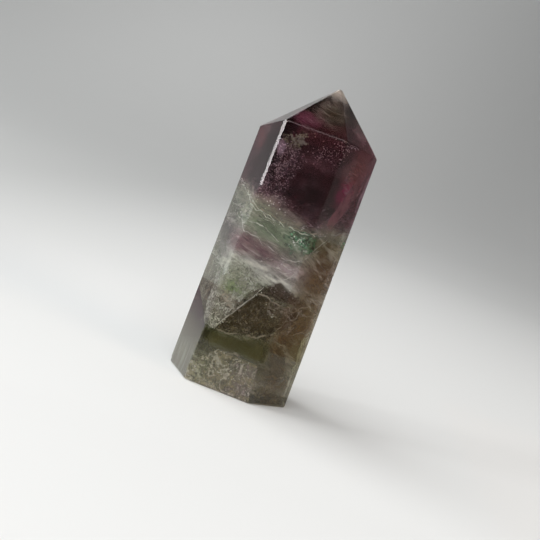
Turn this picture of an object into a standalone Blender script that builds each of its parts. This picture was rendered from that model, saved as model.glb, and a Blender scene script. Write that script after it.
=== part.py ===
# Fluorite point: one polished column of fluorite with six long flats, a six-sided
# tip a little off centre, and a foot cut flat so that it stands by itself.
# Metres, +Z along the column, the front flat towards -Y, origin under its middle.
import bmesh
import bpy
from math import cos, radians, sin
from mathutils import Matrix, Vector

MM = 0.001

# Driving dimensions, in millimetres and degrees.
HEIGHT = 70.0  # to the tip before it is blunted
TIP = (0.4, 0.0)  # where the tip stands over the foot
BLANK_SIDE = 60.0  # side of the block that the stone is cut from

# Each long flat: its bearing from -Y towards +X, its distance from the axis at the
# foot, and how far it leans in over its height.
FLATS = {
    "left": (-65.5, 12.45, 0.8),
    "front": (-2.75, 10.8, 0.45),
    "right": (44.5, 11.95, 0.45),
    "right_back": (108.0, 12.1, 0.65),
    "back": (173.0, 10.9, 0.5),
    "left_back": (-125.0, 11.75, 0.2),
}
# Height of the shoulder on the edge that ends each flat, in the order of FLATS.
SHOULDERS = {
    "left": 59.45,
    "front": 59.75,
    "right": 58.5,
    "right_back": 57.6,
    "back": 56.6,
    "left_back": 56.25,
}

# A small extra facet on the right shoulder: bearing, slope up from level, how far
# below the shoulder it starts.
EXTRA_FACET = (55.5, 47.0, 0.25)
# Narrow strips ground along two edges, by how deep they bite at either end: one runs
# out down the front left edge, one follows the right shoulder.
FRONT_STRIP = (0.1, 0.23)  # at the foot, at the shoulder
SHOULDER_STRIP = (0.2, 0.1)  # at the front, at the right
TIP_BLUNTING = 0.3  # taken off the very tip
FOOT_CHAMFER = 0.35
EDGE_ROUNDING = 0.14
ROUNDING_STEPS = 2
ROUNDED_FROM = 36.0  # edges that turn by less stay crisp

CHIP_TURN = 17.0  # turns each chip's facets away from the flats
# Small shells chipped out of corners and edges: the flats that meet there, how high,
# the radius of the shell and how deep it bites.
CHIPS = {
    "chip_shoulder": ("front", "right", 59.7, 1.1, 0.45),
    "chip_foot_left": ("left_back", "left", 0.0, 1.9, 0.95),
    "chip_foot_front": ("left", "front", 0.0, 1.2, 0.75),
    "chip_edge_right": ("right", "right_back", 31.0, 0.9, 0.2),
    "chip_foot_back": ("back", "left_back", 0.0, 1.5, 0.9),
}

STONE_COLOR = (0.10, 0.06, 0.085, 1.0)
STONE_ROUGHNESS = 0.08
STONE_METALLIC = 0.0
STONE_IOR = 1.434


def clear_objects():
    for old in list(bpy.data.objects):
        bpy.data.objects.remove(old, do_unlink=True)


def outward(bearing, rise):
    """Unit vector at a bearing from -Y towards +X, lifted by rise degrees."""
    turn = radians(bearing)
    lift = radians(rise)
    return Vector((sin(turn) * cos(lift), -cos(turn) * cos(lift), sin(lift)))


def flat_plane(name):
    """A point on a long flat and its outward normal."""
    bearing, distance, lean = FLATS[name]
    return outward(bearing, 0.0) * distance * MM, outward(bearing, lean)


def level_plane(height):
    return Vector((0.0, 0.0, height * MM)), Vector((0.0, 0.0, 1.0))


def meeting_point(planes):
    """The point that three planes share."""
    normals = Matrix([normal for _, normal in planes])
    offsets = Vector([normal.dot(point) for point, normal in planes])
    return normals.inverted() @ offsets


def column_point(first, second, height):
    """Where the edge between two neighbouring flats passes a height."""
    return meeting_point([flat_plane(first), flat_plane(second), level_plane(height)])


def slice_off(stone, point, normal):
    """Grinds away all that lies outside a plane and closes the new facet."""
    everything = stone.verts[:] + stone.edges[:] + stone.faces[:]
    cut = bmesh.ops.bisect_plane(
        stone, geom=everything, dist=1e-7, plane_co=point, plane_no=normal, clear_outer=True
    )
    rim = [item for item in cut["geom_cut"] if isinstance(item, bmesh.types.BMEdge)]
    bmesh.ops.edgeloop_fill(stone, edges=rim)


def cut_column(stone):
    for name in FLATS:
        slice_off(stone, *flat_plane(name))


def cut_tip(stone):
    """Six facets, each through two neighbouring shoulders and the tip."""
    tip = Vector((TIP[0], TIP[1], HEIGHT)) * MM
    names = list(FLATS)
    for index, name in enumerate(names):
        before = names[index - 1]
        after = names[(index + 1) % len(names)]
        start = column_point(before, name, SHOULDERS[before])
        end = column_point(name, after, SHOULDERS[name])
        slice_off(stone, tip, (end - start).cross(tip - start).normalized())
    slice_off(stone, tip - Vector((0.0, 0.0, TIP_BLUNTING * MM)), outward(20.0, 72.0))


def cut_extra_facet(stone):
    bearing, slope, drop = EXTRA_FACET
    start = column_point("right", "right_back", SHOULDERS["right"] - drop)
    slice_off(stone, start, outward(bearing, 90.0 - slope))


def cut_strip(stone, start, end, way, bites):
    """A narrow plane along an edge that faces way and bites in by so much at its ends."""
    first = start - way * bites[0] * MM
    last = end - way * bites[1] * MM
    along = last - first
    slice_off(stone, first, way - along * way.dot(along) / along.length_squared)


def cut_strips(stone):
    foot = column_point("left", "front", 0.0)
    shoulder = column_point("left", "front", SHOULDERS["left"])
    between = (flat_plane("left")[1] + flat_plane("front")[1]).normalized()
    cut_strip(stone, foot, shoulder, between, FRONT_STRIP)

    inner = column_point("front", "right", SHOULDERS["front"])
    outer = column_point("right", "right_back", SHOULDERS["right"])
    upward = outward(FLATS["right"][0], 22.0)
    cut_strip(stone, inner, outer, upward, SHOULDER_STRIP)


def soften_edges(stone):
    """A plain chamfer round the foot, then a fine polished rounding on all keen edges."""
    foot = [edge for edge in stone.edges if all(vert.co.z < 1e-6 for vert in edge.verts)]
    bmesh.ops.bevel(
        stone, geom=foot, offset=FOOT_CHAMFER * MM, segments=1, profile=0.5,
        affect="EDGES", material=-1,
    )
    stone.normal_update()
    keen = [edge for edge in stone.edges if edge.calc_face_angle() > radians(ROUNDED_FROM)]
    bmesh.ops.bevel(
        stone, geom=keen, offset=EDGE_ROUNDING * MM, segments=ROUNDING_STEPS,
        profile=0.5, affect="EDGES", material=-1,
    )


def centre_on_foot(stone):
    """Puts the origin under the middle of the stone's box and returns the shift."""
    xs = [vert.co.x for vert in stone.verts]
    ys = [vert.co.y for vert in stone.verts]
    shift = Vector((-(min(xs) + max(xs)) / 2.0, -(min(ys) + max(ys)) / 2.0, 0.0))
    bmesh.ops.translate(stone, verts=stone.verts, vec=shift)
    return shift


def stone_material():
    material = bpy.data.materials.new("fluorite")
    material.use_nodes = True
    shader = material.node_tree.nodes["Principled BSDF"]
    shader.inputs["Base Color"].default_value = STONE_COLOR
    shader.inputs["Roughness"].default_value = STONE_ROUGHNESS
    shader.inputs["Metallic"].default_value = STONE_METALLIC
    shader.inputs["IOR"].default_value = STONE_IOR
    return material


def build_stone():
    """The cut and polished stone, and the shift that centred it."""
    stone = bmesh.new()
    bmesh.ops.create_cube(stone, size=1.0)
    bmesh.ops.scale(stone, vec=Vector((BLANK_SIDE, BLANK_SIDE, 2.0 * HEIGHT)) * MM, verts=stone.verts)
    bmesh.ops.translate(stone, vec=Vector((0.0, 0.0, HEIGHT * MM)), verts=stone.verts)
    cut_column(stone)
    cut_tip(stone)
    cut_extra_facet(stone)
    soften_edges(stone)
    cut_strips(stone)
    shift = centre_on_foot(stone)
    bmesh.ops.recalc_face_normals(stone, faces=stone.faces)
    mesh = bpy.data.meshes.new("fluorite_point")
    stone.to_mesh(mesh)
    stone.free()
    mesh.materials.append(stone_material())
    body = bpy.data.objects.new("fluorite_point", mesh)
    bpy.context.collection.objects.link(body)
    return body, shift


def chip_cutter(name, first, second, height, radius, bite, shift):
    """A faceted ball that takes a shell out of the edge between two flats."""
    corner = column_point(first, second, height) + shift
    level = Vector((corner.x, corner.y, 0.0)).normalized()
    rise = 0.0 if 5.0 < height < HEIGHT - 15.0 else (0.5 if height > 5.0 else -0.5)
    way = (level + Vector((0.0, 0.0, rise))).normalized()
    ball = bmesh.new()
    bmesh.ops.create_icosphere(ball, subdivisions=3, radius=radius * MM)
    turn = Matrix.Rotation(radians(CHIP_TURN + 20.0 * height), 3, way.orthogonal())
    bmesh.ops.rotate(ball, verts=ball.verts, cent=Vector(), matrix=turn)
    bmesh.ops.translate(ball, verts=ball.verts, vec=corner + way * (radius - bite) * MM)
    mesh = bpy.data.meshes.new(name)
    ball.to_mesh(mesh)
    ball.free()
    cutter = bpy.data.objects.new(name, mesh)
    bpy.context.collection.objects.link(cutter)
    cutter.display_type = "WIRE"
    cutter.hide_render = True
    return cutter


def chip(body, shift):
    for name, (first, second, height, radius, bite) in CHIPS.items():
        cutter = chip_cutter(name, first, second, height, radius, bite, shift)
        cut = body.modifiers.new(name, "BOOLEAN")
        cut.operation = "DIFFERENCE"
        cut.solver = "EXACT"
        cut.object = cutter


clear_objects()
body, shift = build_stone()
chip(body, shift)
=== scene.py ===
import random
from math import cos, radians, sin

import bmesh
import bpy
from mathutils import Matrix, Vector, noise


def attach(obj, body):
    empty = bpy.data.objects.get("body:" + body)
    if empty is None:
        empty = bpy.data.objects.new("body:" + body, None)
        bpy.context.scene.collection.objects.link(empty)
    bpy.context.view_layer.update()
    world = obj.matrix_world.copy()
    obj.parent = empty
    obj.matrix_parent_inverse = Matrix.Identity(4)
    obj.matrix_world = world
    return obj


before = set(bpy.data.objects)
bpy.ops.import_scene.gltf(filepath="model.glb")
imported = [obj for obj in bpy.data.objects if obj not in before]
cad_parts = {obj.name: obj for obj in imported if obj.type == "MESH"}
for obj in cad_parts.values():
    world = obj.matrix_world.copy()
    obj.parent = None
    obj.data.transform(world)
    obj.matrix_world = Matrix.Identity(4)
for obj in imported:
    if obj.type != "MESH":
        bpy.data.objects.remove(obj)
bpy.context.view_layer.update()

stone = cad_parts["fluorite_point"]
scene = bpy.context.scene
mm = 0.001


# Studio: a pale round bowl with painted light and shade that makes its paint lighter and darker from
# place to place, lamps and cards
studio = {
    "floorRadius": 0.5, "sweepRadius": 1.5, "wallHeight": 0.4, "sweepSteps": 16, "turnSteps": 72,
    "floorTone": (0.745, 0.755, 0.75), "sweepShadeTone": (0.515, 0.525, 0.52), "wallLightTone": (0.92, 0.93, 0.92),
    "frontShadeTone": (0.10, 0.10, 0.10), "highShadeTone": (0.55, 0.55, 0.55),
    "rightShade": 0.39, "paintRoughness": 0.7, "paintSheen": 0.2,
    "skyTone": (0.88, 0.90, 0.92), "skyStrength": 0.35,
    "cameraPlace": (0.042, -242.16, 58.83), "cameraPitch": 7.406, "cameraRoll": 20.84,
    "lens": 73.33, "sensorWidth": 36.0, "clipStart": 0.005,
}
# painted shade on the bowl: these ways make it darker on the sweep, high up, to the right and in front,
# and lighter on the far wall
floorShades = {  # the way that each shade of the paint runs, and where it begins and ends in mm
    "sweep": {"way": (-1.0, 0.25, 0.0), "from": 20.0, "to": 190.0},
    "far": {"way": (1.2, 1.0, 0.0), "from": 90.0, "to": 1090.0},
    "right": {"way": (1.0, -0.45, 0.0), "from": -695.0, "to": -165.0},
    "high": {"way": (0.0, 0.0, 1.0), "from": 450.0, "to": 1000.0},
    "front": {"way": (0.0, 1.0, 0.0), "from": -140.0, "to": -420.0},
}
lamps = {  # place and aim, width and height in metres, power in watts
    "stripLight": {"place": (-0.56, -0.23, 0.17), "aim": (0.0, 0.0, 0.05), "size": (0.12, 0.30),
                   "power": 1.5},
    "topBox": {"place": (-0.62, 0.12, 0.80), "aim": (0.0, 0.0, 0.03), "size": (0.7, 0.7), "power": 6.5},
    "frontBox": {"place": (-0.20, -0.62, 0.62), "aim": (0.0, 0.0, 0.03), "size": (1.2, 0.8),
                 "power": 5.7},
    "rightBox": {"place": (0.66, -0.34, 0.42), "aim": (0.0, 0.0, 0.035), "size": (0.4, 0.4),
                 "power": 1.5, "tint": (1.0, 0.80, 0.64)},
}
flags = {  # cards for mirror reflections: middle and size in metres, tone, and tone far to the left
    "frontFlag": {"middle": (0.10, -0.43, 0.001), "size": (0.9, 0.75), "near": (0.03, 0.03, 0.03)},
    "topFlag": {"middle": (0.0, 0.0, 0.55), "size": (0.36, 0.36), "near": (0.03, 0.03, 0.03)},
    "rightFlag": {"middle": (0.275, 0.01, 0.002), "size": (0.43, 0.13), "near": (0.45, 0.27, 0.17)},
    "leftFlag": {"middle": (-0.066, 0.054, 0.002), "size": (0.076, 0.078),
                 "near": (0.66, 0.65, 0.67), "far": (0.10, 0.06, 0.10)},
}
flagShade = {"way": (1.0, 0.0, 0.0), "from": -30.0, "to": -106.0, "roughness": 0.9}


def linkObject(name, data):
    made = bpy.data.objects.new(name, data)
    scene.collection.objects.link(made)
    return made


def makeCamera():
    data = bpy.data.cameras.new("camera")
    data.lens = studio["lens"]
    data.sensor_width = studio["sensorWidth"]
    data.clip_start = studio["clipStart"]
    camera = linkObject("camera", data)
    turn = Matrix.Rotation(radians(90.0 - studio["cameraPitch"]), 4, "X")
    roll = Matrix.Rotation(radians(studio["cameraRoll"]), 4, "Z")
    camera.matrix_world = Matrix.Translation(Vector(studio["cameraPlace"]) * mm) @ turn @ roll
    scene.camera = camera


def makeLamp(name, spec):
    data = bpy.data.lights.new(name, "AREA")
    data.shape = "RECTANGLE"
    data.size, data.size_y = spec["size"]
    data.energy = spec["power"]
    data.color = spec.get("tint", (1.0, 1.0, 1.0))
    lamp = linkObject(name, data)
    lamp.visible_camera = False
    way = Vector(spec["aim"]) - Vector(spec["place"])
    turn = way.to_track_quat("-Z", "Y").to_matrix().to_4x4()
    lamp.matrix_world = Matrix.Translation(spec["place"]) @ turn


def makeWorld():
    world = bpy.data.worlds.new("sky")
    world.use_nodes = True
    shade = world.node_tree.nodes["Background"]
    shade.inputs["Color"].default_value = (*studio["skyTone"], 1.0)
    shade.inputs["Strength"].default_value = studio["skyStrength"]
    scene.world = world


# Small helpers for materials: every pattern is worked out in millimetres on the object
def setInputs(tree, node, inputs):
    for key, value in inputs.items():
        if isinstance(value, bpy.types.NodeSocket):
            tree.links.new(value, node.inputs[key])
        else:
            node.inputs[key].default_value = value


def addNode(tree, kind, settings, inputs):
    made = tree.nodes.new(kind)
    for key, value in settings.items():
        setattr(made, key, value)
    setInputs(tree, made, inputs)
    return made


def sums(tree, operation, *values):
    made = addNode(tree, "ShaderNodeMath", {"operation": operation}, dict(enumerate(values)))
    return made.outputs[0]


def times(tree, first, second):
    return sums(tree, "MULTIPLY", first, second)


def vectors(tree, operation, *values):
    made = addNode(tree, "ShaderNodeVectorMath", {"operation": operation}, dict(enumerate(values)))
    return made.outputs["Value" if operation in ("DOT_PRODUCT", "LENGTH") else "Vector"]


def fade(tree, value, low, high):  # 0 at low, 1 at high, smooth between
    made = addNode(tree, "ShaderNodeMapRange", {"interpolation_type": "SMOOTHSTEP"},
                   {"Value": value, "From Min": low, "From Max": high})
    return made.outputs[0]


def fadeAlong(tree, place, spec):  # the same along a way through the object, in mm
    along = vectors(tree, "DOT_PRODUCT", place, spec["way"])
    return fade(tree, along, spec["from"], spec["to"])


def mixTones(tree, share, first, second):
    pair = [tone if isinstance(tone, bpy.types.NodeSocket) else (*tone, 1.0) for tone in (first, second)]
    made = addNode(tree, "ShaderNodeMix", {"data_type": "RGBA"}, {0: share, 6: pair[0], 7: pair[1]})
    return made.outputs[2]


def cloud(tree, place, scale, detail=3.0, roughness=0.55, distortion=0.0):
    made = addNode(tree, "ShaderNodeTexNoise", {}, {
        "Vector": place, "Scale": scale, "Detail": detail, "Roughness": roughness,
        "Distortion": distortion})
    return made.outputs["Fac"]


def ridges(tree, value):  # 1 where a noise passes its middle, less on either side
    offset = sums(tree, "ABSOLUTE", sums(tree, "MULTIPLY_ADD", value, 2.0, -1.0))
    return sums(tree, "SUBTRACT", 1.0, offset)


def newMaterial(name):
    material = bpy.data.materials.new(name)
    material.use_nodes = True
    tree = material.node_tree
    place = addNode(tree, "ShaderNodeTexCoord", {}, {}).outputs["Object"]
    scaled = addNode(tree, "ShaderNodeVectorMath", {"operation": "SCALE"}, {0: place, "Scale": 1.0 / mm})
    return material, tree, tree.nodes["Principled BSDF"], scaled.outputs[0]


def makeFloor():
    bm = bmesh.new()
    flat, curve, top = studio["floorRadius"], studio["sweepRadius"], studio["wallHeight"]
    verts = [bm.verts.new((0.0, 0.0, 0.0)), bm.verts.new((flat, 0.0, 0.0))]
    for step in range(1, studio["sweepSteps"] + 1):
        angle = radians(90.0) * step / studio["sweepSteps"]
        verts.append(bm.verts.new((flat + curve * sin(angle), 0.0, curve * (1.0 - cos(angle)))))
    verts.append(bm.verts.new((flat + curve, 0.0, curve + top)))
    edges = [bm.edges.new(pair) for pair in zip(verts, verts[1:])]
    bmesh.ops.spin(
        bm, geom=verts + edges, cent=(0.0, 0.0, 0.0), axis=(0.0, 0.0, 1.0),
        angle=radians(360.0), steps=studio["turnSteps"], use_merge=True, dvec=(0.0, 0.0, 0.0),
    )
    bmesh.ops.remove_doubles(bm, verts=bm.verts, dist=1e-5)
    bmesh.ops.recalc_face_normals(bm, faces=bm.faces)
    mesh = bpy.data.meshes.new("floor")
    bm.to_mesh(mesh)
    bm.free()
    for face in mesh.polygons:
        face.use_smooth = True
    floor = linkObject("floor", mesh)
    material, tree, shade, place = newMaterial("floorPaint")
    share = {name: fadeAlong(tree, place, spec) for name, spec in floorShades.items()}
    # painted light and shade: the tones below lighten and darken the bowl from place to place
    tone = mixTones(tree, share["sweep"], studio["floorTone"], studio["sweepShadeTone"])
    tone = mixTones(tree, share["far"], tone, studio["wallLightTone"])
    right = times(tree, share["right"], share["far"])
    tone = mixTones(tree, times(tree, right, studio["rightShade"]), tone, (0.0, 0.0, 0.0))
    tone = mixTones(tree, share["high"], tone, studio["highShadeTone"])
    tone = mixTones(tree, share["front"], tone, studio["frontShadeTone"])
    setInputs(tree, shade, {
        "Base Color": tone, "Roughness": studio["paintRoughness"],
        "Specular IOR Level": studio["paintSheen"]})
    mesh.materials.append(material)


def makeFlag(name, spec):  # a card that only mirror reflections meet, as a studio uses for gems
    bm = bmesh.new()
    bmesh.ops.create_grid(bm, x_segments=1, y_segments=1, size=0.5)
    bmesh.ops.scale(bm, vec=Vector((*spec["size"], 1.0)), verts=bm.verts)
    bmesh.ops.translate(bm, verts=bm.verts, vec=Vector(spec["middle"]))
    mesh = bpy.data.meshes.new(name)
    bm.to_mesh(mesh)
    bm.free()
    flag = linkObject(name, mesh)
    material, tree, shade, place = newMaterial(name)
    far = spec.get("far", spec["near"])
    tone = mixTones(tree, fadeAlong(tree, place, flagShade), spec["near"], far)
    setInputs(tree, shade, {"Base Color": tone, "Roughness": flagShade["roughness"]})
    mesh.materials.append(material)
    flag.visible_camera = flag.visible_diffuse = flag.visible_transmission = flag.visible_shadow = False


makeCamera()
makeWorld()
makeFloor()
for name, spec in flags.items():
    makeFlag(name, spec)
for name, spec in lamps.items():
    makeLamp(name, spec)
print("studio ready")


# The crystal itself: clear and refracting, coloured by what the light crosses
crystal = {
    "ior": 1.434, "roughness": 0.02,
    "absorption": (0.86, 0.84, 0.80), "density": 150.0,
    "zoneTilt": (0.12, -0.12, 1.0), "swirl": 0.11, "wander": 9.0,
    "top": 70.0,  # height in mm that the colour bands run up to
    "bands": [  # height in mm, tint
        (0.0, (0.82, 0.80, 0.73)),
        (14.0, (0.70, 0.71, 0.60)),
        (24.0, (0.80, 0.81, 0.76)),
        (34.0, (0.84, 0.78, 0.81)),
        (40.5, (0.78, 0.82, 0.75)),
        (44.0, (0.50, 0.34, 0.44)),
        (60.0, (0.48, 0.33, 0.42)),
        (64.5, (0.50, 0.42, 0.38)),
        (67.0, (0.95, 0.92, 0.91)),
    ],
}


def bandRamp(tree, value, bands):
    ramp = tree.nodes.new("ShaderNodeValToRGB")
    stops = ramp.color_ramp.elements
    while len(stops) < len(bands):
        stops.new(0.5)
    for stop, (level, tint) in zip(stops, bands):
        stop.position = level / crystal["top"]
        stop.color = (*tint, 1.0) if isinstance(tint, tuple) else (tint, tint, tint, 1.0)
    tree.links.new(sums(tree, "DIVIDE", value, crystal["top"]), ramp.inputs[0])
    return ramp.outputs[0]


def zoneHeight(tree, place):  # height in mm, falling a little to the right and to the back
    level = vectors(tree, "DOT_PRODUCT", place, crystal["zoneTilt"])
    swirl = sums(tree, "SUBTRACT", cloud(tree, place, crystal["swirl"]), 0.5)
    return sums(tree, "MULTIPLY_ADD", swirl, crystal["wander"], level)


def makeCrystal():
    material, tree, shade, place = newMaterial("fluoriteCrystal")
    tint = bandRamp(tree, zoneHeight(tree, place), crystal["bands"])
    setInputs(tree, shade, {
        "Base Color": tint, "Transmission Weight": 1.0, "IOR": crystal["ior"],
        "Roughness": crystal["roughness"]})
    soak = addNode(tree, "ShaderNodeVolumeAbsorption", {}, {
        "Color": (*crystal["absorption"], 1.0), "Density": crystal["density"]})
    tree.links.new(soak.outputs[0], tree.nodes["Material Output"].inputs["Volume"])
    return material


stone.material_slots[0].material = makeCrystal()
print("crystal ready")


# The stone's facets, so that whatever lies inside can be kept behind them: those of at least this
# area in square metres, and from this height in mm up also the small ones that blunt the tip
facetRules = {"broad": 4e-6, "tipFrom": 68.5}


def readFacets():
    bm = bmesh.new()
    bm.from_mesh(stone.data)
    bmesh.ops.remove_doubles(bm, verts=bm.verts, dist=1e-6)
    bmesh.ops.dissolve_limit(bm, angle_limit=radians(0.5), verts=bm.verts, edges=bm.edges)
    found = []
    for face in bm.faces:
        centre = face.calc_center_median()
        if face.calc_area() > facetRules["broad"] or centre.z > facetRules["tipFrom"] * mm:
            found.append((centre, face.normal.copy()))
    bm.free()
    return found


facets = readFacets()


def cutAway(bm, sides, closed=False):  # takes off what lies past planes: a point on each, its way out
    for point, way in sides:
        everything = bm.verts[:] + bm.edges[:] + bm.faces[:]
        cut = bmesh.ops.bisect_plane(
            bm, geom=everything, dist=1e-7, plane_co=point, plane_no=way, clear_outer=True)
        rim = [item for item in cut["geom_cut"] if isinstance(item, bmesh.types.BMEdge)]
        if closed and rim:
            bmesh.ops.edgeloop_fill(bm, edges=rim)


def readSides(sides):  # from mm to metres
    return [(Vector(point) * mm, Vector(way).normalized()) for point, way in sides]


def trimToStone(bm, gap, closed=False):
    cutAway(bm, [(centre - normal * gap * mm, normal) for centre, normal in facets], closed)


def keepInside(bm, gap):
    for vert in bm.verts:
        for centre, normal in facets:
            over = (vert.co - centre).dot(normal) + gap * mm
            if over > 0.0:
                vert.co -= normal * over


def facing(bearing, rise, roll=0.0):  # turns a flat sheet so that it faces a bearing from the front
    return (Matrix.Rotation(radians(bearing), 4, "Z") @ Matrix.Rotation(radians(90.0 - rise), 4, "X")
            @ Matrix.Rotation(radians(roll), 4, "Z"))


swell = {"shift": (7.3, 3.1, 5.7), "octaves": ((1.0, 1.0), (0.5, 2.1), (0.25, 4.3))}  # strength, pace


def wobble(place, size, seed):
    spot = place / (size * mm) + Vector([seed * part for part in swell["shift"]])
    return sum(strength * noise.noise(spot * pace) for strength, pace in swell["octaves"])


def finishPiece(name, bm, material, smooth=True):
    mesh = bpy.data.meshes.new(name)
    bm.to_mesh(mesh)
    bm.free()
    for face in mesh.polygons:
        face.use_smooth = smooth
    mesh.materials.append(material)
    piece = linkObject(name, mesh)
    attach(piece, "root")


def remeshed(bm, voxel):
    mesh = bpy.data.meshes.new("block")
    bm.to_mesh(mesh)
    block = linkObject("block", mesh)
    knit = block.modifiers.new("remesh", "REMESH")
    knit.mode = "VOXEL"
    knit.voxel_size = voxel * mm
    bm.clear()
    bm.from_object(block, bpy.context.evaluated_depsgraph_get())
    bpy.data.objects.remove(block)
    bpy.data.meshes.remove(mesh)
    bm.normal_update()


def evenOut(bm, rounds=1):
    for turn in range(rounds):
        bmesh.ops.smooth_vert(bm, verts=bm.verts, factor=0.5, use_axis_x=True, use_axis_y=True,
                              use_axis_z=True)


blank = (60.0, 60.0, 160.0)  # block in mm that each inner form is cut from
keptGap = 0.6  # share of its gap that a form keeps where its waves reach out


def makeInnerForm(name, spec, material):
    bm = bmesh.new()
    bmesh.ops.create_cube(bm, size=1.0)
    bmesh.ops.scale(bm, vec=Vector(blank) * mm, verts=bm.verts)
    trimToStone(bm, spec["gap"], closed=True)
    cutAway(bm, readSides(spec.get("cuts", [])), closed=True)
    bmesh.ops.recalc_face_normals(bm, faces=bm.faces)
    if spec["voxel"] > 0.0:
        remeshed(bm, spec["voxel"])
        high, long = spec["waves"]
        for vert in bm.verts:
            vert.co += vert.normal * wobble(vert.co, long, spec["seed"]) * high * mm
        keepInside(bm, spec["gap"] * keptGap)
        evenOut(bm)
    finishPiece(name, bm, material, smooth=spec["voxel"] > 0.0)


# Clear but deeply coloured zones, each a closed block that only takes colour from the light
zones = {  # gap, voxel, and height and length of the waves, all in mm
    "purpleCrown": {
        "gap": 0.35, "voxel": 0.7, "waves": (0.9, 6.0), "seed": 1.0,
        "cuts": [((0.0, 0.0, 43.0), (-0.10, -0.22, -1.0)), ((0.0, -4.0, 66.6), (0.25, 0.20, 1.0))],
        "tone": (0.50, 0.17, 0.22), "density": 180.0,
    },
    "greenFoot": {
        "gap": 0.4, "voxel": 0.7, "waves": (0.5, 7.0), "seed": 2.0,
        "cuts": [((0.0, 0.0, 6.0), (0.05, 0.1, -1.0)), ((0.0, 0.0, 14.5), (-0.15, -0.1, 1.0))],
        "tone": (0.60, 0.60, 0.42), "density": 130.0,
    },
    "oliveWedge": {
        "gap": 0.5, "voxel": 0.7, "waves": (0.5, 5.0), "seed": 3.0,
        "cuts": [((-6.5, -10.0, 12.6), (-0.92, 0.0, 0.40)), ((0.0, -10.0, 24.6), (0.1, -0.2, 1.0)),
                 ((0.0, -10.0, 13.4), (0.15, 0.2, -1.0))],
        "tone": (0.62, 0.46, 0.36), "density": 150.0,
    },
}


def makeZoneMaterial(name, spec):
    material, tree, shade, place = newMaterial(name)
    tree.nodes.remove(shade)
    out = tree.nodes["Material Output"]
    clear = addNode(tree, "ShaderNodeBsdfTransparent", {}, {})
    soak = addNode(tree, "ShaderNodeVolumeAbsorption", {}, {
        "Color": (*spec["tone"], 1.0), "Density": spec["density"]})
    tree.links.new(clear.outputs[0], out.inputs["Surface"])
    tree.links.new(soak.outputs[0], out.inputs["Volume"])
    return material


for name, spec in zones.items():
    makeInnerForm(name, spec, makeZoneMaterial(name, spec))
print("colour zones ready")


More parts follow.
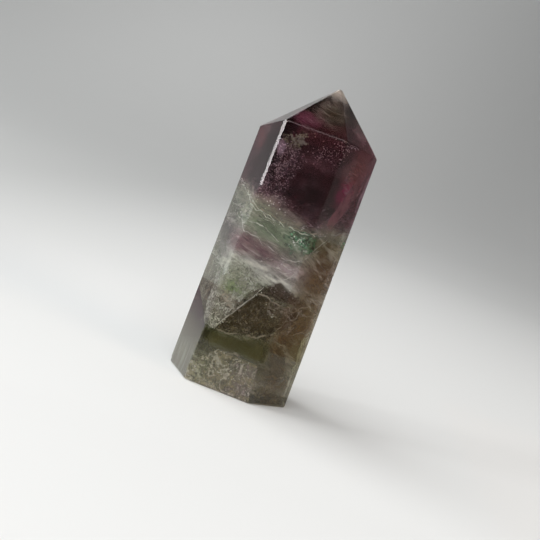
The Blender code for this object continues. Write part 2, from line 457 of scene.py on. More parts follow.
# Milk: four closed clouds one inside the other, with clear windows and coloured patches
milk = {
    "layers": {  # gap, waves and voxel in mm, how much each covers, whether it lies far in
        "milkOuter": {"gap": 0.14, "waves": (0.0, 7.0), "seed": 4.0, "voxel": 0.0,
                      "share": 0.45, "deep": False},
        "milkSecond": {"gap": 1.8, "waves": (0.9, 6.0), "seed": 5.0, "voxel": 0.6,
                       "share": 0.80, "deep": False},
        "milkThird": {"gap": 4.0, "waves": (1.1, 5.0), "seed": 6.0, "voxel": 0.6,
                      "share": 1.1, "deep": True},
        "milkCore": {"gap": 6.4, "waves": (1.2, 5.0), "seed": 7.0, "voxel": 0.6,
                     "share": 1.4, "deep": True},
    },
    "cover": [  # height in mm, how thick the milk is
        (0.0, 0.62), (6.0, 0.48), (9.0, 0.38), (13.0, 0.35), (16.0, 0.48), (21.0, 0.52), (25.0, 0.65),
        (29.0, 0.80), (33.0, 0.62), (38.0, 0.70), (41.5, 0.66), (44.0, 0.14), (55.0, 0.08), (62.0, 0.10),
        (65.8, 0.12), (67.2, 0.60), (70.0, 0.60),
    ],
    "tones": [
        (0.0, (0.70, 0.64, 0.50)), (8.0, (0.46, 0.44, 0.30)), (12.0, (0.22, 0.21, 0.11)),
        (16.0, (0.34, 0.28, 0.22)), (21.0, (0.48, 0.42, 0.35)), (25.0, (0.58, 0.61, 0.48)),
        (29.0, (0.90, 0.91, 0.85)), (33.0, (0.52, 0.45, 0.43)), (37.0, (0.52, 0.57, 0.44)),
        (41.5, (0.58, 0.54, 0.46)), (44.0, (0.22, 0.11, 0.12)), (60.0, (0.16, 0.08, 0.08)),
        (67.0, (0.66, 0.58, 0.52)),
    ],
    "grain": [  # how speckled rather than silky
        (0.0, 1.0), (7.0, 1.0), (10.0, 0.3), (14.0, 0.3), (16.0, 0.9), (25.0, 0.9), (29.0, 0.25),
        (44.0, 0.15), (50.0, 0.2), (58.0, 0.1),
    ],
    "folds": (0.86, 0.86, 0.78), "dust": (0.13, 0.12, 0.09), "roughness": 0.6, "thickest": 0.95,
    # how far the edges of patches, windows and film stray, and how the grain lies in each layer
    "stray": {"scale": 0.35, "detail": 4.0, "reach": 1.5, "windows": (0.3, 0.3, 0.3),
              "film": (0.25, 0.7, 0.25)},
    "lie": {"shift": 11.0, "turn": (-12.0, 16.0, 0.0), "stretch": (1.7, 1.5, 0.65),
            "silk": (0.55, 0.6, 1.1)},
    "noises": {  # scale, detail, roughness, distortion
        "soft": (0.16, 6.0, 0.62, 0.4), "silk": (0.55, 4.0, 0.6, 0.9), "crease": (0.10, 3.0, 0.5, 0.3),
        "specks": (1.5, 4.0, 0.75, 0.4), "streaks": (1.3, 3.0, 0.6, 0.3),
    },
    "fades": {  # where each pattern begins and where it is full
        "soft": (0.32, 0.62), "silk": (0.28, 0.72), "specks": (0.36, 0.66), "dust": (0.9, 0.4),
        "lines": (0.86, 1.0), "linesInSilk": (0.38, 0.62), "streaks": (0.40, 0.70),
        "patches": (1.25, 0.35),
    },
    "gains": {"soft": (1.2, 0.15), "silk": (0.75, 0.55), "specks": (1.3, 0.25)},  # added, and least
    "shares": {"lineCover": 0.40, "lineTone": 0.5, "dustTone": 0.6, "window": 0.85, "deepShade": 0.6,
               "filmTone": 0.9},
    "windows": {  # clear wedges between flat breaks: point and way out of each side, share left, tone
        "lowerWedge": {
            "sides": [((-6.6, -10, 12.9), (-0.86, 0.05, 0.50)), ((0, -10, 22.8), (0.03, -0.10, 1.0)),
                      ((0, -10, 13.6), (0.18, 0.12, -1.0)), ((5.8, -10, 15.8), (0.8, 0.1, -0.6))],
            "soft": 0.4, "share": 0.42, "tone": (0.175, 0.125, 0.055)},
        "upperWedge": {
            "sides": [((-0.6, -10, 24.0), (-0.65, 0.0, 0.76)), ((3.1, -10, 27.2), (0.5, 0.0, 0.86)),
                      ((0, -10, 23.1), (0.0, 0.10, -1.0))],
            "soft": 0.6, "share": 0.32, "tone": (0.17, 0.10, 0.07)},
        "greenBand": {
            "sides": [((0, -10, 13.0), (-0.18, -0.12, 1.0)), ((0, -10, 7.6), (0.05, 0.25, -1.0)),
                      ((6.2, -10, 10.0), (1.0, 0.2, 0.25))],
            "soft": 1.0, "share": 0.34, "tone": (0.46, 0.42, 0.22)},
    },
    "film": {  # the smooth dusky wedge low on the left face, darkest at its point
        "sides": [((-9.0, -10.2, 12.5), (0.0, -0.519, 0.855)), ((-9.3, -10.2, 10.0), (0.75, -0.66, 0.0)),
                  ((-10.65, -4.85, 0.0), (0.91, 0.415, 0.0))],
        "soft": 0.3, "cover": 0.84, "high": (0.07, 0.03, 0.055), "low": (0.27, 0.26, 0.24),
        "levels": (5.5, 17.0), "streak": (0.42, 0.43, 0.39), "streakLevels": (8.5, 4.0),
        "streakStretch": (1.0, 1.0, 0.12),
    },
    "patches": {  # coloured places: middle and reach in mm, share of the tone, milk added, tone
        "mauve": ((-6.4, -8.0, 31.8), (9.5, 7.0, 2.7), 0.88, 0.25, (0.31, 0.18, 0.20)),
        "leftMauve": ((-12.2, -3.0, 32.4), (2.6, 5.0, 2.2), 0.95, 0.5, (0.07, 0.035, 0.045)),
        "milkGreen": ((-3.0, -8.0, 36.6), (8.0, 7.0, 2.4), 0.6, 0.25, (0.42, 0.54, 0.38)),
        "emerald": ((4.3, -8.5, 36.7), (4.0, 4.0, 2.6), 0.95, 0.25, (0.025, 0.10, 0.04)),
        "pinkWhite": ((3.4, -8.5, 30.4), (4.4, 3.0, 1.6), 0.85, 0.6, (0.96, 0.84, 0.87)),
        "moss": ((-6.0, -8.5, 22.2), (3.6, 4.0, 2.2), 0.8, 0.25, (0.36, 0.49, 0.22)),
        "greenSide": ((-7.5, -9.5, 10.5), (4.0, 4.0, 3.0), 0.8, 0.15, (0.19, 0.23, 0.11)),
        "fanRose": ((-5.8, -9.5, 19.4), (2.4, 3.0, 2.4), 0.7, 0.2, (0.62, 0.50, 0.45)),
        "whiteStreak": ((-8.8, -9.4, 25.8), (0.9, 2.0, 1.7), 0.8, 0.25, (0.96, 0.98, 0.94)),
        "leftShade": ((-13.0, -3.0, 28.0), (4.0, 9.0, 20.0), 0.8, 0.0, (0.20, 0.20, 0.175)),
        # painted shade: brown patches low and midway up the right face make it darker and warmer, as
        # shade with warm light from the right side
        "rightLowWarmShade": ((9.5, -6.5, 11.0), (6.5, 8.0, 14.0), 0.95, 0.25, (0.23, 0.145, 0.06)),
        "rightWarmShade": ((10.2, -5.5, 30.0), (5.4, 7.0, 14.0), 0.92, 0.3, (0.21, 0.14, 0.065)),
        "tipPurple": ((-3.8, -7.0, 61.0), (4.4, 4.0, 2.4), 0.9, 0.35, (0.50, 0.14, 0.30)),
        "tipSmoke": ((1.2, -5.0, 63.3), (3.8, 5.0, 3.8), 0.9, 0.45, (0.085, 0.068, 0.034)),
        "tipWine": ((5.0, -6.5, 60.6), (2.6, 4.0, 2.6), 0.9, 0.3, (0.12, 0.035, 0.06)),
        # painted reflection: a pale grey-mauve patch under the right tip facet stands in for the
        # backdrop that the facet mirrors
        "tipRightReflection": ((7.5, -2.0, 62.0), (3.0, 4.5, 5.0), 0.9, 0.5, (0.60, 0.45, 0.49)),
        # painted light: a wine-red patch on the upper right face stands in for warm red light thrown
        # onto it from the right
        "rightWarmLight": ((9.8, -6.3, 54.0), (3.8, 5.0, 5.5), 0.9, 0.4, (0.58, 0.19, 0.13)),
        "rightMagenta": ((9.0, -7.2, 49.0), (3.0, 3.5, 4.0), 0.95, 0.45, (0.50, 0.04, 0.17)),
        "lilacSmear": ((-7.0, -10.2, 53.8), (1.1, 2.5, 2.2), 0.9, 0.55, (0.82, 0.78, 0.80)),
        "greenLump": ((-3.3, -10.3, 56.3), (1.1, 2.0, 0.8), 1.0, 0.5, (0.36, 0.42, 0.27)),
        "leftRose": ((-12.2, -2.5, 54.5), (2.6, 4.0, 5.0), 0.8, 0.4, (0.50, 0.18, 0.16)),
        "footMauve": ((3.4, -9.5, 3.5), (2.6, 3.0, 5.0), 0.8, 0.25, (0.54, 0.42, 0.44)),
        "footMoss": ((-6.5, -9.5, 4.0), (3.5, 3.0, 4.5), 0.6, 0.25, (0.34, 0.36, 0.20)),
        "apexCap": ((0.8, 0.0, 68.6), (3.2, 3.2, 3.0), 0.9, 0.5, (0.60, 0.54, 0.48)),
        "darkDeep": ((2.6, -8.0, 47.0), (3.4, 5.0, 5.0), 0.9, 0.25, (0.02, 0.02, 0.012)),
        "pinkSmear": ((-5.0, -8.5, 42.6), (4.5, 3.0, 1.6), 0.8, 0.35, (0.60, 0.47, 0.44)),
        "smokeWeb": ((1.5, -9.5, 53.2), (5.0, 3.0, 1.8), 0.8, 0.35, (0.34, 0.19, 0.18)),
    },
}


def insideSides(tree, place, sides, soft):
    share = None
    for point, way in sides:
        way = Vector(way).normalized()
        level = way.dot(Vector(point))
        inside = fade(tree, vectors(tree, "DOT_PRODUCT", place, way), level + soft, level - soft)
        share = inside if share is None else times(tree, share, inside)
    return share


def insidePatch(tree, place, middle, reach):
    shrunk = [1.0 / size for size in reach]
    offset = [-centre * size for centre, size in zip(middle, shrunk)]
    local = vectors(tree, "MULTIPLY_ADD", place, shrunk, offset)
    return fade(tree, vectors(tree, "LENGTH", local), *milk["fades"]["patches"])


def makeMilkMaterial(name, layer):
    material, tree, shade, place = newMaterial(name)
    noises, fades, gains, shares = [milk[key] for key in ("noises", "fades", "gains", "shares")]
    stray, lie = milk["stray"], milk["lie"]
    ragged = addNode(tree, "ShaderNodeTexNoise", {}, {
        "Vector": place, "Scale": stray["scale"], "Detail": stray["detail"]})
    drift = vectors(tree, "MULTIPLY_ADD", ragged.outputs["Color"],
                    [2.0 * stray["reach"]] * 3, [-stray["reach"]] * 3)
    loose = vectors(tree, "ADD", place, drift)
    tight = vectors(tree, "MULTIPLY_ADD", drift, stray["windows"], place)
    height = zoneHeight(tree, place)
    shifted = vectors(tree, "ADD", place, (layer["seed"] * lie["shift"], 0.0, 0.0))
    stretched = addNode(tree, "ShaderNodeMapping", {"vector_type": "TEXTURE"}, {
        "Vector": shifted, "Rotation": [radians(turn) for turn in lie["turn"]],
        "Scale": lie["stretch"]}).outputs[0]
    soft = cloud(tree, stretched, *noises["soft"])
    silk = cloud(tree, vectors(tree, "MULTIPLY", stretched, lie["silk"]), *noises["silk"])
    crease = ridges(tree, cloud(tree, stretched, *noises["crease"]))
    lines = fade(tree, crease, *fades["lines"])
    lines = times(tree, lines, fade(tree, silk, *fades["linesInSilk"]))
    specks = fade(tree, cloud(tree, shifted, *noises["specks"]), *fades["specks"])
    rough = sums(tree, "MULTIPLY_ADD", specks, *gains["specks"])
    silky = sums(tree, "MULTIPLY_ADD", fade(tree, silk, *fades["silk"]), *gains["silk"])
    grain = bandRamp(tree, height, milk["grain"])
    texture = addNode(tree, "ShaderNodeMix", {}, {0: grain, 2: silky, 3: rough}).outputs[0]
    bank = bandRamp(tree, height, milk["cover"])
    gain, least = gains["soft"]
    cover = sums(tree, "MULTIPLY_ADD", fade(tree, soft, *fades["soft"]), gain * layer["share"], least)
    cover = times(tree, times(tree, bank, cover), texture)
    cover = sums(tree, "MULTIPLY_ADD", lines, times(tree, bank, shares["lineCover"]), cover)
    tone = bandRamp(tree, height, milk["tones"])
    dusty = mixTones(tree, shares["dustTone"], tone, milk["dust"])
    tone = mixTones(tree, fade(tree, texture, *fades["dust"]), tone, dusty)
    for middle, reach, share, added, hue in milk["patches"].values():
        spot = times(tree, insidePatch(tree, loose, middle, reach), share)
        tone = mixTones(tree, spot, tone, hue)
        cover = sums(tree, "MULTIPLY_ADD", spot, added, cover)
    tone = mixTones(tree, times(tree, lines, shares["lineTone"]), tone, milk["folds"])
    for window in milk["windows"].values():
        clear = insideSides(tree, tight, window["sides"], window["soft"])
        dense = times(tree, clear, shares["window"])
        # painted shade: in the deep layers the window tone is darkened, so that the window looks deep
        dim = [part * (shares["deepShade"] if layer["deep"] else 1.0) for part in window["tone"]]
        tone = mixTones(tree, dense, tone, dim)
        if layer["deep"]:  # dark and dense far in, so that the window looks deep
            cover = sums(tree, "MAXIMUM", cover, dense)
        else:
            kept = sums(tree, "MULTIPLY_ADD", clear, window["share"] - 1.0, 1.0)
            cover = times(tree, cover, kept)
    if name == "milkOuter":
        film = milk["film"]
        frayed = vectors(tree, "MULTIPLY_ADD", drift, stray["film"], place)
        inside = insideSides(tree, frayed, film["sides"], film["soft"])
        level = addNode(tree, "ShaderNodeSeparateXYZ", {}, {0: place}).outputs["Z"]
        hue = mixTones(tree, fade(tree, level, *film["levels"]), film["low"], film["high"])
        upright = vectors(tree, "MULTIPLY", place, film["streakStretch"])
        streaks = fade(tree, cloud(tree, upright, *noises["streaks"]), *fades["streaks"])
        streaks = times(tree, streaks, fade(tree, level, *film["streakLevels"]))
        hue = mixTones(tree, streaks, hue, film["streak"])
        tone = mixTones(tree, times(tree, inside, shares["filmTone"]), tone, hue)
        kept = times(tree, cover, sums(tree, "SUBTRACT", 1.0, inside))
        cover = sums(tree, "MULTIPLY_ADD", inside, film["cover"], kept)
    setInputs(tree, shade, {
        "Base Color": tone, "Alpha": sums(tree, "MINIMUM", cover, milk["thickest"]),
        "Roughness": milk["roughness"], "Specular IOR Level": 0.0})
    return material


for name, layer in milk["layers"].items():
    makeInnerForm(name, layer, makeMilkMaterial(name, layer))
print("milk ready")


# Looks of the healed cracks and veils: two tones, pale fold lines and bright specks that are painted
# glints
veilPattern = {
    "noises": {  # detail, roughness, distortion; the last three have their scale in front
        "soft": (5.0, 0.62, 0.7), "crease": (4.0, 0.5, 0.3), "fine": (2.6, 2.0, 0.7),
        "rays": (0.55, 4.0, 0.6, 0.3), "ragged": (0.5, 3.0),
    },
    "fades": {  # where each pattern begins and where it is full
        "lines": (0.93, 0.995), "dots": (0.50, 0.25), "fine": (0.30, 0.72), "rays": (0.34, 0.66),
        "tones": (0.35, 0.70), "edge": (0.8, 0.3),
    },
    "fineGain": 1.1, "rayCount": 14.0, "rayStretch": 0.25, "rayGain": (0.9, 0.45),
    "roughness": 0.5, "sheen": 0.1,
}
looks = {
    "greyLace": {
        "deep": (0.34, 0.34, 0.28), "pale": (0.62, 0.63, 0.56),
        "line": (0.90, 0.90, 0.86), "dot": (0.95, 0.95, 0.92),
        "stretch": (0.7, 1.0, 1.6), "cloud": 0.22, "fold": 0.16, "dots": 2.6,
        "base": 0.50, "foldShare": 0.5, "dotShare": 0.10, "from": 0.36, "to": 0.70,
    },
    "pinkLace": {
        "deep": (0.36, 0.28, 0.29), "pale": (0.64, 0.56, 0.55),
        "line": (0.92, 0.88, 0.86), "dot": (0.95, 0.93, 0.92),
        "stretch": (0.6, 1.0, 1.4), "cloud": 0.26, "fold": 0.20, "dots": 2.8,
        "base": 0.5, "foldShare": 0.7, "dotShare": 0.12, "from": 0.38, "to": 0.66,
    },
    "silverSpeckle": {
        "deep": (0.44, 0.41, 0.37), "pale": (0.64, 0.63, 0.60),
        "line": (0.88, 0.88, 0.86), "dot": (0.97, 0.97, 0.95),
        "cloud": 0.55, "fold": 0.35, "dots": 3.2, "fan": (-7.4, 11.0),
        "base": 0.95, "foldShare": 0.4, "dotShare": 0.22, "from": 0.26, "to": 0.62, "dotCover": 0.8,
    },
    "mauveSpeckle": {
        "deep": (0.18, 0.145, 0.10), "pale": (0.30, 0.25, 0.21),
        "line": (0.50, 0.44, 0.42), "dot": (0.66, 0.60, 0.58),
        "cloud": 0.60, "fold": 0.25, "dots": 4.0,
        "base": 0.5, "foldShare": 0.12, "dotShare": 0.18, "from": 0.36, "to": 0.74, "dotCover": 0.6,
    },
    "wedgeDust": {
        "deep": (0.12, 0.10, 0.045), "pale": (0.32, 0.27, 0.18),
        "line": (0.40, 0.33, 0.28), "dot": (0.64, 0.58, 0.52),
        "cloud": 0.9, "fold": 0.20, "dots": 4.4,
        "base": 0.75, "dotShare": 0.22, "from": 0.34, "to": 0.70, "dotCover": 0.55,
    },
    "footDust": {
        "deep": (0.20, 0.17, 0.10), "pale": (0.50, 0.44, 0.33),
        "line": (0.78, 0.74, 0.70), "dot": (0.96, 0.94, 0.92),
        "cloud": 0.45, "fold": 0.24, "dots": 2.8,
        "base": 0.95, "foldShare": 0.5, "dotShare": 0.16, "from": 0.36, "to": 0.62, "dotCover": 0.8,
    },
    "lilacDots": {
        "deep": (0.24, 0.18, 0.18), "pale": (0.58, 0.56, 0.50),
        "line": (0.50, 0.44, 0.45), "dot": (0.94, 0.92, 0.84),
        "stretch": (1.2, 1.0, 0.6), "cloud": 0.28, "fold": 0.12, "dots": 4.4,
        "base": 0.50, "dotShare": 0.26, "from": 0.36, "to": 0.72, "dotCover": 0.75,
    },
    "curls": {
        "deep": (0.16, 0.10, 0.10), "pale": (0.36, 0.26, 0.26),
        "line": (0.46, 0.34, 0.35), "dot": (0.74, 0.62, 0.60),
        "cloud": 0.9, "fold": 0.75, "dots": 4.8,
        "base": 0.40, "foldShare": 0.06, "dotShare": 0.24, "from": 0.38, "to": 0.76, "dotCover": 0.6,
    },
    "moss": {
        "deep": (0.10, 0.11, 0.05), "pale": (0.56, 0.66, 0.40),
        "line": (0.32, 0.36, 0.22), "dot": (0.70, 0.78, 0.60),
        "cloud": 0.50, "fold": 0.35, "dots": 3.0,
        "base": 0.90, "dotShare": 0.14, "from": 0.30, "to": 0.60, "dotCover": 0.5,
        "bulge": 2.0, "fray": 4.5,
    },
    "rose": {
        "deep": (0.34, 0.27, 0.28), "pale": (0.62, 0.50, 0.53),
        "line": (0.86, 0.80, 0.80), "dot": (0.92, 0.88, 0.88),
        "stretch": (1.3, 1.0, 0.7), "cloud": 0.55, "fold": 0.30, "dots": 3.0,
        "base": 0.80, "foldShare": 0.4, "dotShare": 0.14, "from": 0.34, "to": 0.66, "dotCover": 0.7,
    },
    "smooth": {
        "deep": (0.50, 0.27, 0.26), "pale": (0.66, 0.40, 0.38),
        "line": (0.44, 0.31, 0.28), "dot": (0.5, 0.4, 0.36),
        "stretch": (1.0, 1.0, 0.5), "cloud": 0.20, "fold": 0.10, "dots": 2.0,
        "base": 0.55, "dotShare": 0.0, "from": 0.0, "to": 0.6, "fine": 0.2,
    },
    "emerald": {
        "deep": (0.006, 0.022, 0.012), "pale": (0.12, 0.31, 0.17),
        "line": (0.30, 0.50, 0.34), "dot": (0.96, 0.98, 0.95),
        "cloud": 0.34, "fold": 0.30, "dots": 1.6,
        "base": 0.97, "dotShare": 0.18, "from": 0.05, "to": 0.30, "fine": 0.3,
        "bulge": 2.0, "fray": 3.0,
    },
    "mossSpeckle": {
        "deep": (0.18, 0.20, 0.12), "pale": (0.42, 0.46, 0.33),
        "line": (0.66, 0.70, 0.58), "dot": (0.82, 0.84, 0.74),
        "cloud": 0.45, "fold": 0.30, "dots": 3.2,
        "base": 0.75, "foldShare": 0.3, "dotShare": 0.16, "from": 0.34, "to": 0.70, "dotCover": 0.6,
    },
}


def makeVeilMaterial(name, look):
    material, tree, shade, place = newMaterial(name)
    noises, fades = veilPattern["noises"], veilPattern["fades"]
    stretched = vectors(tree, "MULTIPLY", place, look.get("stretch", (1.0, 1.0, 1.0)))
    soft = cloud(tree, stretched, look["cloud"], *noises["soft"])
    crease = cloud(tree, stretched, look["fold"], *noises["crease"])
    lines = fade(tree, ridges(tree, crease), *fades["lines"])
    # painted glints: a share of small cells become bright dots
    cells = addNode(tree, "ShaderNodeTexVoronoi", {}, {"Vector": place, "Scale": look["dots"]})
    lots = addNode(tree, "ShaderNodeSeparateColor", {}, {0: cells.outputs["Color"]}).outputs[0]
    chosen = sums(tree, "LESS_THAN", lots, look["dotShare"])
    dots = times(tree, fade(tree, cells.outputs["Distance"], *fades["dots"]), chosen)
    dots = times(tree, dots, look.get("dotCover", 1.0))
    cover = times(tree, fade(tree, soft, look["from"], look["to"]), look["base"])
    fine = fade(tree, cloud(tree, place, *noises["fine"]), *fades["fine"])
    gain = veilPattern["fineGain"] * look.get("fine", 1.0)
    cover = times(tree, cover, sums(tree, "MULTIPLY_ADD", fine, gain, 1.0 - 0.5 * gain))
    if "fan" in look:  # streaks that run out from one corner of the break
        split = addNode(tree, "ShaderNodeSeparateXYZ", {}, {0: place})
        aside = sums(tree, "SUBTRACT", split.outputs["X"], look["fan"][0])
        above = sums(tree, "SUBTRACT", split.outputs["Z"], look["fan"][1])
        angle = times(tree, sums(tree, "ARCTAN2", above, aside), veilPattern["rayCount"])
        along = times(tree, above, veilPattern["rayStretch"])
        rays = addNode(tree, "ShaderNodeCombineXYZ", {}, {0: angle, 1: along}).outputs[0]
        streaks = fade(tree, cloud(tree, rays, *noises["rays"]), *fades["rays"])
        cover = times(tree, cover, sums(tree, "MULTIPLY_ADD", streaks, *veilPattern["rayGain"]))
    cover = sums(tree, "MULTIPLY_ADD", lines, look.get("foldShare", 0.0), cover)
    cover = sums(tree, "MINIMUM", sums(tree, "ADD", cover, dots), 1.0)
    across = addNode(tree, "ShaderNodeUVMap", {"uv_map": "sheet"}, {}).outputs[0]
    centred = vectors(tree, "MULTIPLY_ADD", across, (2.0, 2.0, 0.0), (-1.0, -1.0, 0.0))
    sides = addNode(tree, "ShaderNodeSeparateXYZ", {}, {0: centred})
    bulge = look.get("bulge", 4.0)  # 2 for an oval sheet, more for one that fills its corners
    reach = [sums(tree, "POWER", sums(tree, "ABSOLUTE", side), bulge) for side in sides.outputs[:2]]
    fray = look.get("fray", 0.9)
    torn = cloud(tree, place, *noises["ragged"])
    ragged = sums(tree, "MULTIPLY_ADD", torn, fray, sums(tree, "ADD", *reach))
    edge = fade(tree, ragged, *[level + 0.5 * fray for level in fades["edge"]])
    tone = mixTones(tree, fade(tree, soft, *fades["tones"]), look["deep"], look["pale"])
    tone = mixTones(tree, lines, tone, look["line"])
    # painted glints: the bright dot tone laid into the colour
    tone = mixTones(tree, dots, tone, look["dot"])
    setInputs(tree, shade, {
        "Base Color": tone, "Alpha": times(tree, cover, edge),
        "Roughness": veilPattern["roughness"], "Specular IOR Level": veilPattern["sheen"]})
    return material


# Veils: where each stands in mm, the way it faces, its width and height, its waves and its look
veilMake = {"step": 0.45, "gap": 0.12, "seed": 10.0}  # mm between points, mm behind the flats
veils = {
    "crackLevel": {
        "centre": (0, 0, 41.2), "faces": (-20, 72, 0), "size": (40, 34),
        "waves": (1.3, 6.0), "look": "greyLace"},
    "crackUpper": {
        "centre": (-1, 1, 42.6), "faces": (-35, 66, 10), "size": (36, 30),
        "waves": (1.0, 5.0), "look": "pinkLace"},
    "drapeHigh": {
        "centre": (0, -1, 37.5), "faces": (-30, 48, 10), "size": (38, 34),
        "waves": (1.5, 5.5), "look": "greyLace"},
    "drapeMiddle": {
        "centre": (0, -1, 32.0), "faces": (12, 40, -8), "size": (38, 34),
        "waves": (1.4, 6.0), "look": "pinkLace",
        "cuts": [((0.0, -10.0, 25.6), (0.2, -0.9, -1.0))]},
    "drapeLow": {
        "centre": (0, -1, 27.5), "faces": (-12, 58, 5), "size": (38, 34),
        "waves": (1.3, 5.0), "look": "greyLace",
        "cuts": [((0.0, -10.0, 25.6), (0.2, -0.9, -1.0))]},
    "silverFan": {
        "centre": (-7.3, -8.4, 20.0), "faces": (-32, 6, 0), "size": (17, 18),
        "waves": (0.7, 3.5), "look": "silverSpeckle",
        "cuts": [((-6.5, -10, 12.8), (0.92, 0.0, -0.40)), ((-9.0, -10, 12.2), (-0.3, 0.0, -1.0))]},
    "mossBand": {
        "centre": (-4.0, -7.8, 25.2), "faces": (-10, 12, 8), "size": (13, 6),
        "waves": (0.8, 3.5), "look": "mossSpeckle"},
    "wedgeFloor": {
        "centre": (0.5, -5.5, 16.5), "faces": (2, 42, 8), "size": (20, 13),
        "waves": (0.6, 4.0), "look": "mauveSpeckle",
        "cuts": [((-6.5, -10, 12.8), (-0.92, 0.0, 0.40))]},
    "wedgeSpeckle": {
        "centre": (0.0, -10.0, 17.2), "faces": (-2, 4, 10), "size": (15, 11),
        "waves": (0.5, 4.0), "look": "wedgeDust",
        "cuts": [((-6.6, -10, 12.9), (-0.86, 0.05, 0.50)), ((0, -10, 22.8), (0.03, -0.10, 1.0)),
                 ((0, -10, 13.3), (0.18, 0.0, -1.0))]},
    "wedgeRight": {
        "centre": (6.0, -7.0, 21.0), "faces": (20, 20, -20), "size": (9, 6),
        "waves": (0.6, 4.0), "look": "pinkLace"},
    "footVeil": {
        "centre": (-1.0, -10.3, 3.6), "faces": (-3, 3, -3), "size": (20, 14),
        "waves": (0.5, 4.0), "look": "footDust", "hug": 0.3,
        "cuts": [((5.4, -10, 3.0), (1.0, 0.1, 0.1)), ((0.0, -9, 8.6), (0.05, 0.0, 1.0)),
                 ((-6.6, -10, 6.4), (-0.7, 0.0, 0.72))]},
    "footMoss": {
        "centre": (-5.0, -9.2, 3.0), "faces": (-8, 4, -3), "size": (9, 7),
        "waves": (0.5, 3.0), "look": "mossSpeckle"},
    "lilacVeil": {
        "centre": (-5.0, -10.6, 48.8), "faces": (-14, 2, -14), "size": (7, 15),
        "waves": (0.3, 5.0), "look": "lilacDots", "hug": 0.22},
    "curlVeil": {
        "centre": (2.8, -9.8, 54.8), "faces": (4, 8, 15), "size": (7, 5.5),
        "waves": (0.6, 3.0), "look": "curls"},
    "mossPatch": {
        "centre": (-4.2, -10.2, 56.3), "faces": (-6, 2, 24), "size": (7.6, 4.2),
        "waves": (0.4, 2.5), "look": "moss", "hug": 0.09, "gap": 0.05},
    "emeraldPatch": {
        "centre": (4.0, -10.3, 36.7), "faces": (0, 2, 12), "size": (8.6, 6.6),
        "waves": (0.3, 4.0), "look": "emerald", "hug": 0.09, "gap": 0.05},
    "rightBand": {
        "centre": (11.4, -6.1, 50.4), "faces": (44.5, 1, -22), "size": (3.4, 24),
        "waves": (0.0, 5.0), "look": "smooth", "hug": 0.09, "gap": 0.05},
    "footRose": {
        "centre": (2.8, -10.5, 3.4), "faces": (-3, 3, 2), "size": (7.4, 10.0),
        "waves": (0.4, 3.0), "look": "rose", "hug": 0.2,
        "cuts": [((5.35, -10, 3.0), (1.0, 0.1, 0.06)), ((0.0, -9, 8.2), (0.05, 0.0, 1.0))]},
    "rightLace": {
        "centre": (9.2, -4.4, 23.0), "faces": (46, 8, 0), "size": (12, 16),
        "waves": (0.8, 3.5), "look": "pinkLace"},
    "backSilver": {
        "centre": (2.0, 8.0, 21.0), "faces": (172, 14, 10), "size": (16, 14),
        "waves": (0.9, 4.0), "look": "silverSpeckle"},
    "backLilac": {
        "centre": (-2.0, 8.6, 50.0), "faces": (176, 6, 0), "size": (10, 14),
        "waves": (0.8, 4.0), "look": "lilacDots"},
    "backMoss": {
        "centre": (1.0, 8.6, 6.0), "faces": (172, 8, 0), "size": (16, 9),
        "waves": (0.8, 4.0), "look": "mossSpeckle"},
}


def makeVeil(name, spec, seed):
    width, tall = spec["size"]
    across, along = [int(length / veilMake["step"]) for length in spec["size"]]
    bm = bmesh.new()
    bm.loops.layers.uv.new("sheet")
    bmesh.ops.create_grid(bm, x_segments=across, y_segments=along, size=0.5, calc_uvs=True)
    bmesh.ops.scale(bm, vec=Vector((width, tall, 1.0)) * mm, verts=bm.verts)
    turn = facing(*spec["faces"])
    place = Matrix.Translation(Vector(spec["centre"]) * mm)
    bmesh.ops.transform(bm, matrix=place @ turn, verts=bm.verts)
    outward = turn.to_3x3() @ Vector((0.0, 0.0, 1.0))
    high, long = spec["waves"]
    for vert in bm.verts:
        vert.co += outward * wobble(vert.co, long, seed) * high * mm
    if "hug" in spec:  # laid against the inner side of the flat instead of cut off by it
        keepInside(bm, spec["hug"])
    trimToStone(bm, spec.get("gap", veilMake["gap"]))
    cutAway(bm, readSides(spec.get("cuts", [])))
    finishPiece(name, bm, veilMaterials[spec["look"]])


veilMaterials = {name: makeVeilMaterial(name, look) for name, look in looks.items()}
for number, (name, spec) in enumerate(veils.items()):
    makeVeil(name, spec, veilMake["seed"] + number)
print("veils ready")


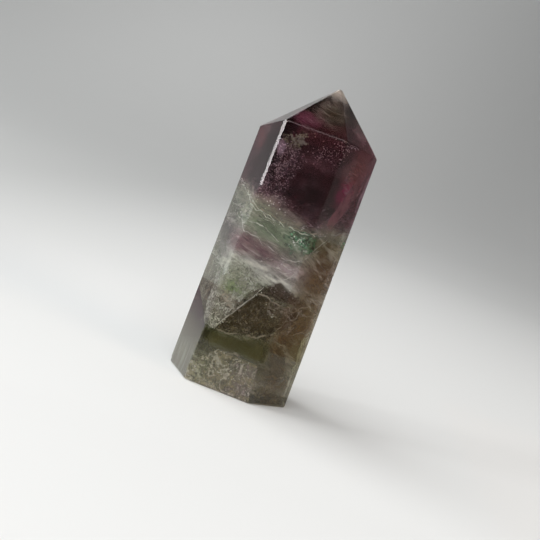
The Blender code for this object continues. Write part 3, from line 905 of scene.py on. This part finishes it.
# Threads: the pale rims of the breaks, laid against the inner side of the flats
threadMake = {
    "cuts": 9, "rounds": 6, "straySize": 1.6, "swellSize": 1.2, "thinnest": 0.25, "swell": 0.9,
    "seed": 40.0, "roughness": 0.45, "breakScale": 0.7, "breaks": (0.30, 0.56),
}
threads = {
    "rims": {
        "tone": (0.84, 0.84, 0.78), "cover": 0.9, "width": 0.34, "stray": 0.5, "gap": 0.09,
        "paths": [
            [(-14, 1, 44.2), (-11.5, -5, 43), (-10, -9, 40.6), (-7.5, -12, 39.8), (-4, -12, 39.4),
             (-1.5, -12, 38.6), (3, -12, 38.4), (9, -12, 39.0), (13, -8, 40.5)],
            [(-14, 1, 44.0), (-11.5, -5, 42), (-10.2, -8, 41.6), (-8.5, -12, 40.9), (-5, -12, 39.0),
             (-2, -12, 38.9), (1.5, -12, 37.8)],
            [(-13, -4, 37.5), (-9.6, -12, 35), (-6, -12, 34.4), (-3, -12, 33.4), (2, -12, 32),
             (6.5, -12, 32.6), (9, -12, 35.7), (11, -9, 39.5)],
            [(-7.0, -12, 12.8), (-6.2, -12, 14.2), (-4.0, -12, 18.0), (-2.2, -12, 21.0),
             (-0.6, -12, 23.4), (0.2, -12, 24.8)],
            [(-8.6, -12, 23.0), (-8.7, -12, 19.0), (-8.8, -12, 15.0), (-8.2, -12, 12.9),
             (-6.6, -12, 12.5)],
            [(-11.5, -8, 38), (-10, -9, 36), (-6, -12, 37.2), (-3, -12, 36.2), (0, -12, 35.2)],
            [(3.0, -12, 27.3), (6.0, -12, 30.0), (7.0, -12, 32.6)],
            [(0.8, -12, 29.6), (3.0, -12, 29.0), (5.0, -12, 30.0), (6.2, -12, 31.8)],
            [(1.4, -12, 30.6), (3.8, -12, 30.1), (5.8, -12, 31.0)],
            # painted glint: a pale thread along the right shoulder edge
            [(6.6, -10.0, 59.3), (7.6, -9.0, 59.2), (8.8, -7.8, 59.1)],
        ],
    },
    "softRims": {
        "tone": (0.50, 0.43, 0.36), "cover": 0.7, "width": 0.6, "stray": 0.5, "gap": 0.1,
        "paths": [
            [(-0.8, -12, 23.0), (1.5, -12, 23.2), (3.5, -12, 22.2), (5.5, -12, 22.0), (8.5, -12, 22.4)],
            [(-6.8, -12, 12.7), (-3, -12, 12.6), (0, -12, 13.3), (2, -12, 13.8), (5.4, -12, 15.6),
             (8.2, -12, 19.0), (9.2, -12, 22.0)],
            [(-7.0, -12, 5.8), (-4.2, -12, 8.3), (-0.6, -12, 8.9), (2.4, -12, 7.8), (5.2, -12, 7.9)],
            [(5.2, -12, 7.9), (5.4, -12, 4.0), (5.5, -12, 0.8)],
            [(8, -12, 23), (11, -9, 21.6), (13.5, -6, 21.4), (13, -6, 18.0), (10.5, -9, 16.5)],
            [(7.6, -11, 20.6), (9.6, -9.5, 22.4), (12.0, -7, 23.6)],
            [(-12, -4, 43.4), (-9.8, -8, 41.0), (-7.0, -12, 40.2), (-4, -12, 39.6), (-1, -12, 39.0),
             (4, -12, 38.7), (9, -12, 39.4)],
        ],
    },
    "webs": {
        "tone": (0.42, 0.31, 0.32), "cover": 0.4, "width": 0.20, "stray": 0.7, "gap": 0.12,
        "paths": [
            [(-2.5, -12, 53.8), (0.2, -12, 53.4), (2.8, -12, 53.0), (5.4, -12, 52.6), (6.4, -11, 51.8)],
            [(-1.0, -12, 55.2), (1.5, -12, 54.2), (3.4, -12, 55.4), (5.2, -12, 54.4)],
            [(5.2, -12, 57.6), (5.4, -12, 55.6), (5.2, -12, 53.6)],
        ],
    },
    "fanRim": {
        "tone": (0.80, 0.76, 0.74), "cover": 0.9, "width": 0.75, "stray": 0.25, "gap": 0.1,
        "paths": [
            [(-7.2, -12, 12.6), (-6.2, -12, 14.0), (-4.0, -12, 17.6), (-2.2, -12, 20.6),
             (-0.9, -12, 22.6)],
            [(-8.6, -12, 14.6), (-8.0, -12, 13.2), (-6.9, -12, 12.7)],
        ],
    },
}


def makeThreads(name, spec, seed):
    bm = bmesh.new()
    for path in spec["paths"]:
        verts = [bm.verts.new(Vector(point) * mm) for point in path]
        edges = [bm.edges.new(pair) for pair in zip(verts, verts[1:])]
        bmesh.ops.subdivide_edges(bm, edges=edges, cuts=threadMake["cuts"])
    evenOut(bm, threadMake["rounds"])
    for vert in bm.verts:
        vert.co.z += wobble(vert.co, threadMake["straySize"], seed) * spec["stray"] * mm
    wide = bmesh.ops.extrude_edge_only(bm, edges=bm.edges[:])
    for vert in [item for item in wide["geom"] if isinstance(item, bmesh.types.BMVert)]:
        thick = abs(wobble(vert.co, threadMake["swellSize"], seed + 3.0))
        vert.co.z += (threadMake["thinnest"] + threadMake["swell"] * thick) * spec["width"] * mm
    keepInside(bm, spec["gap"])
    material, tree, shade, place = newMaterial(name)
    broken = fade(tree, cloud(tree, place, threadMake["breakScale"]), *threadMake["breaks"])
    setInputs(tree, shade, {
        "Base Color": (*spec["tone"], 1.0), "Alpha": times(tree, broken, spec["cover"]),
        "Roughness": threadMake["roughness"]})
    finishPiece(name, bm, material)


for number, (name, spec) in enumerate(threads.items()):
    makeThreads(name, spec, threadMake["seed"] + number)
print("threads ready")


# Sparks: tiny flakes, in mm, where a crack catches the light; the pale ones are painted glints
sparkMake = {
    "sides": 5, "spread": 0.5, "turns": (-50.0, 50.0), "tilts": (-40.0, 60.0), "sizes": (0.6, 1.4),
    "gap": 0.08, "roughness": 0.25, "seed": 7,
}
sparks = {
    "whiteSparks": {"tone": (0.95, 0.95, 0.92), "groups": [  # centre, spread, how many, size
        ((-4.0, -10.4, 42.0), (4.5, 0.6, 2.0), 30, 0.14),
        ((3.9, -10.9, 36.6), (1.9, 0.1, 1.3), 34, 0.17),
        ((-8.2, -10.0, 25.0), (0.8, 0.4, 1.6), 14, 0.22),
        ((-7.0, -10.9, 54.0), (0.9, 0.1, 1.8), 16, 0.14),
        ((-7.0, -10.2, 14.5), (1.6, 0.4, 1.6), 30, 0.15),
        ((-1.5, -10.3, 23.6), (1.4, 0.4, 1.2), 18, 0.15),
        ((3.4, -10.3, 20.0), (1.6, 0.4, 1.2), 14, 0.17),
        ((0.0, -10.4, 5.0), (3.8, 0.4, 2.2), 34, 0.13),
        # painted glint: bright flakes at the right shoulder edge
        ((7.6, -8.8, 59.0), (1.2, 1.2, 0.3), 14, 0.13),
        ((0.0, 8.5, 30.0), (7.0, 1.0, 16.0), 50, 0.16),
    ]},
    "roseSparks": {"tone": (0.80, 0.76, 0.68), "groups": [
        ((2.6, -10.4, 55.6), (3.6, 0.4, 2.4), 90, 0.09),
        ((-5.6, -10.5, 49.5), (2.2, 0.4, 6.5), 240, 0.09),
        ((5.4, -10.2, 58.4), (2.4, 0.5, 1.1), 40, 0.10),
        ((-4.5, -10.4, 43.6), (4.5, 0.4, 1.6), 60, 0.10),
    ]},
    "mossFlakes": {"tone": (0.38, 0.43, 0.30), "groups": [
        ((-3.3, -10.5, 56.2), (0.9, 0.2, 0.5), 26, 0.24),
        ((-5.0, -10.5, 56.6), (1.6, 0.2, 0.7), 24, 0.16),
        ((-6.0, -10.3, 22.6), (2.4, 0.4, 1.6), 40, 0.16),
    ]},
    "mintFlakes": {"tone": (0.34, 0.74, 0.48), "groups": [
        ((4.1, -10.6, 36.6), (2.0, 0.3, 1.4), 34, 0.24),
        ((12.9, -3.4, 38.8), (0.3, 0.4, 1.0), 10, 0.24),
    ]},
}


def makeSparks(name, spec, chance):
    bm = bmesh.new()
    for centre, spread, count, size in spec["groups"]:
        bearing = 0.0 if centre[1] < 0.0 else 180.0  # towards the front or the back
        for index in range(count):
            spot = [chance.gauss(middle, reach * sparkMake["spread"])
                    for middle, reach in zip(centre, spread)]
            turn = facing(bearing + chance.uniform(*sparkMake["turns"]),
                          chance.uniform(*sparkMake["tilts"]))
            bmesh.ops.create_circle(
                bm, cap_ends=True, segments=sparkMake["sides"],
                radius=size * chance.uniform(*sparkMake["sizes"]) * mm,
                matrix=Matrix.Translation(Vector(spot) * mm) @ turn)
    keepInside(bm, sparkMake["gap"])
    material, tree, shade, place = newMaterial(name)
    setInputs(tree, shade, {"Base Color": (*spec["tone"], 1.0), "Roughness": sparkMake["roughness"]})
    finishPiece(name, bm, material, smooth=False)


chance = random.Random(sparkMake["seed"])
for name, spec in sparks.items():
    makeSparks(name, spec, chance)
print("sparks ready")

scene.view_settings.view_transform = "Standard"
scene.cycles.max_bounces = 24
scene.cycles.transmission_bounces = 20
scene.cycles.transparent_max_bounces = 64
scene.cycles.sample_clamp_indirect = 6.0
